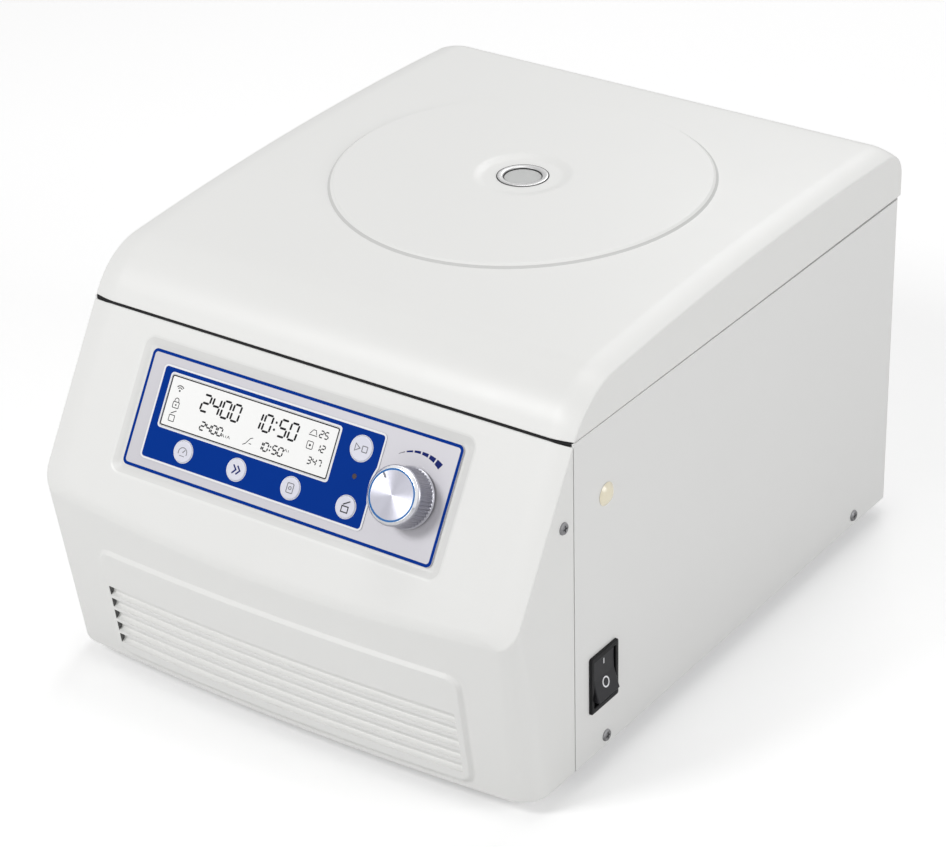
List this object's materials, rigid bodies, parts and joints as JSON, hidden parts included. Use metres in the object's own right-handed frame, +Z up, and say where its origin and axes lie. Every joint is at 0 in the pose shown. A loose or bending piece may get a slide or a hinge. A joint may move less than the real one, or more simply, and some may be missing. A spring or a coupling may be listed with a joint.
{
  "type": "cytocentrifuge",
  "caption": "Benchtop cytocentrifuge with a domed rear-hinged lid, sloped control panel, knob, louvred front and a slide-clip rotor in a steel chamber.",
  "frame": {"origin": "on the standing surface, under the middle of the object's outer box", "axes": "+Z up, -Y towards the control panel, +X to the right as seen from the front"},
  "size_m": [0.2854, 0.3756, 0.2205],
  "materials": {
    "white_shell": "satin",
    "white_sheet": "satin powder coat",
    "deck_plastic": "satin",
    "pan_steel": "satin",
    "black_rubber": "matte",
    "stainless": "brushed",
    "zinc_steel": "plated",
    "dark_steel": "satin",
    "shaft_steel": "ground",
    "rotor_alloy": "anodised",
    "nut_plastic": "satin",
    "clip_steel": "polished",
    "slide_glass": "clear",
    "chamber_plastic": "satin",
    "window_metal": "turned",
    "window_glass": "clear",
    "panel_silver": "satin print",
    "panel_blue": "satin print",
    "screen_clear": "clear",
    "screen_face": "reflective display",
    "board_green": "solder mask",
    "key_grey": "satin",
    "led_red": "gloss",
    "knob_metal": "knurled",
    "knob_face": "spun",
    "switch_black": "satin",
    "cream_plastic": "gloss",
    "copper_coil": "lacquered winding",
    "screw_steel": "dark plated"
  },
  "bodies": {
    "base": {"base_pan": "pan_steel", "feet": "black_rubber", "case_cover": "white_sheet", "front_housing": "white_shell", "top_deck": "deck_plastic", "deck_seal": "black_rubber", "chamber_bowl": "stainless", "shaft_seal": "black_rubber", "motor_plate": "zinc_steel", "motor_dampers": "black_rubber", "motor_housing": "dark_steel", "hinge_bases": "zinc_steel", "hinge_pins": "shaft_steel", "lock_body": "zinc_steel", "lock_solenoid": "copper_coil", "panel_plate": "panel_silver", "panel_overlay": "panel_blue", "display_window": "screen_clear", "lcd_module": "screen_face", "control_board": "board_green", "status_led": "led_red", "encoder": "dark_steel", "rocker_bezel": "switch_black", "mains_inlet": "switch_black", "power_board": "board_green", "case_screws": "screw_steel"},
    "lid": {"lid_cover": "white_shell", "lid_liner": "deck_plastic", "chamber_gasket": "black_rubber", "window_ring": "window_metal", "window_glass": "window_glass", "latch_hook": "zinc_steel", "hinge_arms": "zinc_steel"},
    "rotor": {"motor_shaft": "shaft_steel", "rotor_body": "rotor_alloy", "rotor_nut": "nut_plastic"},
    "lock_bar": {"lock_bolt": "shaft_steel", "release_rod": "shaft_steel"},
    "plug": {"release_plug": "cream_plastic"},
    "start_button": {"key_start": "key_grey"},
    "mode_button": {"key_mode": "key_grey"},
    "shift_button": {"key_shift": "key_grey"},
    "program_button": {"key_program": "key_grey"},
    "lid_button": {"key_lid": "key_grey"},
    "knob": {"speed_knob": "knob_metal", "knob_cap": "knob_face"},
    "rocker": {"rocker_paddle": "switch_black"},
    "fuse_tray": {"fuse_drawer": "switch_black"},
    "clip_1": {"slide_clip_1": "clip_steel", "glass_slide_1": "slide_glass", "sample_chamber_1": "chamber_plastic"},
    "clip_2": {"slide_clip_2": "clip_steel", "glass_slide_2": "slide_glass", "sample_chamber_2": "chamber_plastic"},
    "clip_3": {"slide_clip_3": "clip_steel", "glass_slide_3": "slide_glass", "sample_chamber_3": "chamber_plastic"},
    "clip_4": {"slide_clip_4": "clip_steel", "glass_slide_4": "slide_glass", "sample_chamber_4": "chamber_plastic"}
  },
  "joints": [
    {"name": "lid_hinge", "type": "hinge", "parent": "base", "child": "lid", "pos_m": [0, 0.18331, 0.1868], "axis": [-1, 0, 0], "range_deg": [0, 78]},
    {"name": "rotor_spin", "type": "hinge", "parent": "base", "child": "rotor", "pos_m": [0, 0.03711, 0.159], "axis": [0, 0, 1], "continuous": true},
    {"name": "clip_1_tilt", "type": "hinge", "parent": "rotor", "child": "clip_1", "pos_m": [0.0495, 0.08661, 0.159], "axis": [0.7071, -0.7071, 0], "range_deg": [0, 12]},
    {"name": "clip_2_tilt", "type": "hinge", "parent": "rotor", "child": "clip_2", "pos_m": [-0.0495, 0.08661, 0.159], "axis": [0.7071, 0.7071, 0], "range_deg": [0, 12]},
    {"name": "clip_3_tilt", "type": "hinge", "parent": "rotor", "child": "clip_3", "pos_m": [-0.0495, -0.01239, 0.159], "axis": [-0.7071, 0.7071, 0], "range_deg": [0, 12]},
    {"name": "clip_4_tilt", "type": "hinge", "parent": "rotor", "child": "clip_4", "pos_m": [0.0495, -0.01239, 0.159], "axis": [-0.7071, -0.7071, 0], "range_deg": [0, 12]},
    {"name": "start_press", "type": "slide", "parent": "base", "child": "start_button", "axis": [0, 0.8542, -0.52], "range_m": [0, 0.0008], "stiffness_N_per_m": 250, "springref_m": -0.002},
    {"name": "mode_press", "type": "slide", "parent": "base", "child": "mode_button", "axis": [0, 0.8542, -0.52], "range_m": [0, 0.0008], "stiffness_N_per_m": 250, "springref_m": -0.002},
    {"name": "shift_press", "type": "slide", "parent": "base", "child": "shift_button", "axis": [0, 0.8542, -0.52], "range_m": [0, 0.0008], "stiffness_N_per_m": 250, "springref_m": -0.002},
    {"name": "program_press", "type": "slide", "parent": "base", "child": "program_button", "axis": [0, 0.8542, -0.52], "range_m": [0, 0.0008], "stiffness_N_per_m": 250, "springref_m": -0.002},
    {"name": "lid_press", "type": "slide", "parent": "base", "child": "lid_button", "axis": [0, 0.8542, -0.52], "range_m": [0, 0.0008], "stiffness_N_per_m": 250, "springref_m": -0.002},
    {"name": "knob_turn", "type": "hinge", "parent": "base", "child": "knob", "pos_m": [0.0655, -0.16541, 0.15321], "axis": [0, -0.8542, 0.52], "continuous": true},
    {"name": "rocker_tilt", "type": "hinge", "parent": "base", "child": "rocker", "pos_m": [0.134, -0.10809, 0.05], "axis": [0, 1, 0], "range_deg": [0, 18]},
    {"name": "lock_slide", "type": "slide", "parent": "base", "child": "lock_bar", "axis": [-1, 0, 0], "range_m": [0, 0.008]},
    {"name": "plug_pull", "type": "slide", "parent": "base", "child": "plug", "axis": [1, 0, 0], "range_m": [0, 0.012]},
    {"name": "fuse_slide", "type": "slide", "parent": "base", "child": "fuse_tray", "axis": [0, 1, 0], "range_m": [0, 0.012]}
  ]
}
